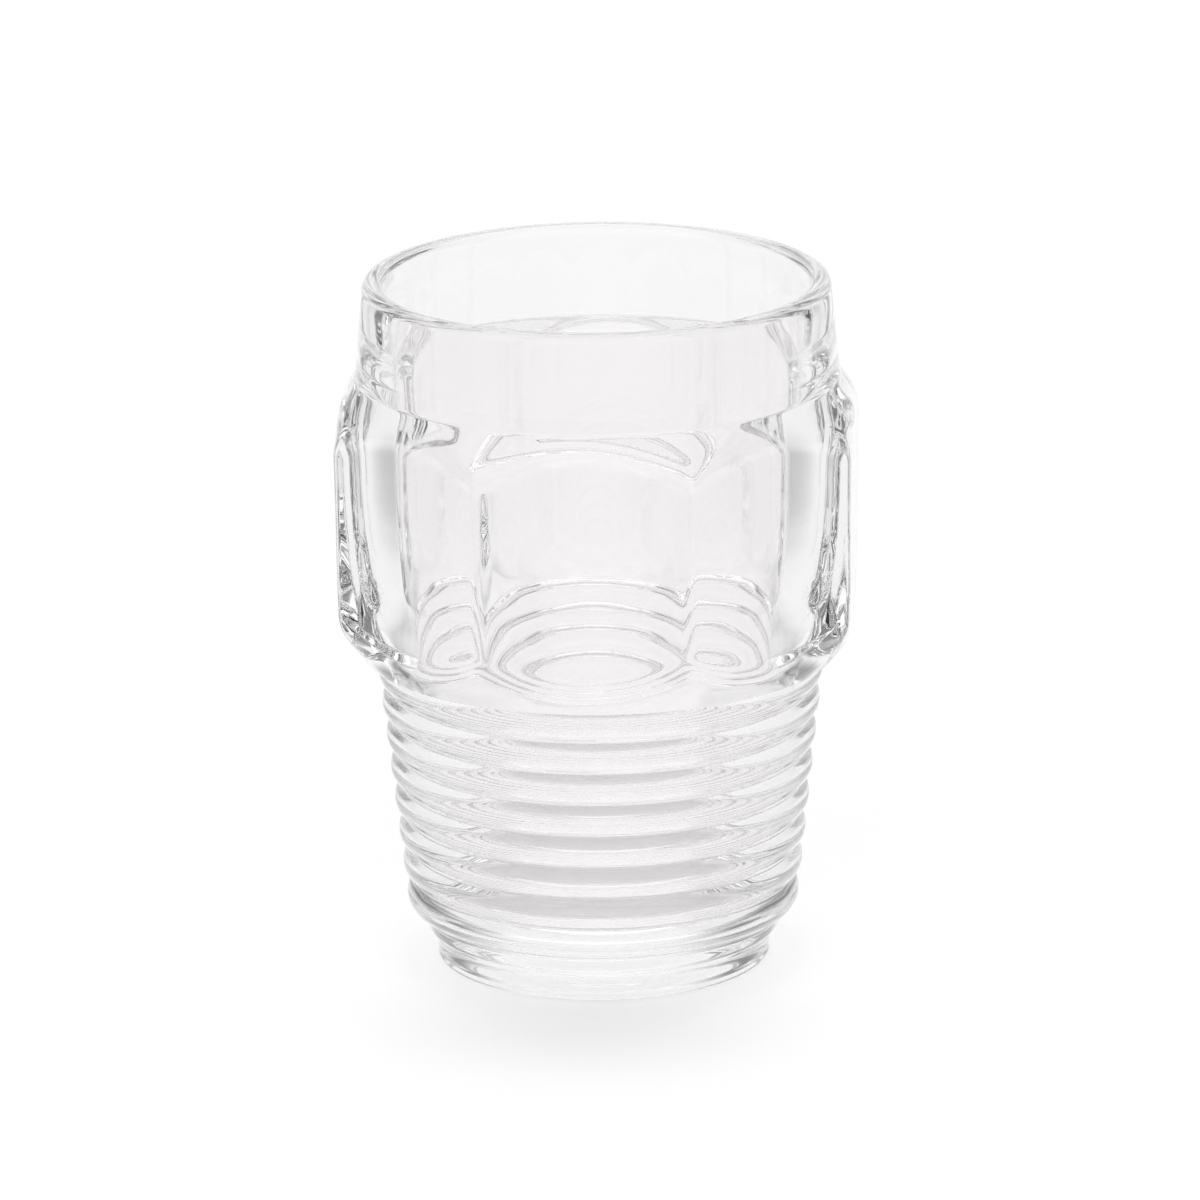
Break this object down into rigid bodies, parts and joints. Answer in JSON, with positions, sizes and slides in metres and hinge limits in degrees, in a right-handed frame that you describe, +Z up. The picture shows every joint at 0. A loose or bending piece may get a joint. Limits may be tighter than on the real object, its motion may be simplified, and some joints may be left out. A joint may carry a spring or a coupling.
{
  "type": "juice glass",
  "caption": "Clear pressed-glass juice tumbler: plain rim band, chamfered nut-like collar with flats, tapering shank of ring ribs and a small round foot.",
  "frame": {"origin": "centre of the foot's resting face, on the axis of the glass", "axes": "+Z up along the axis of the glass towards the mouth; one flat of the collar faces -Y, the side that the picture shows"},
  "size_m": [0.0804, 0.0804, 0.11],
  "materials": {
    "glass": "clear, fire-polished"
  },
  "bodies": {
    "root": {"tumbler": "glass"}
  },
  "joints": []
}
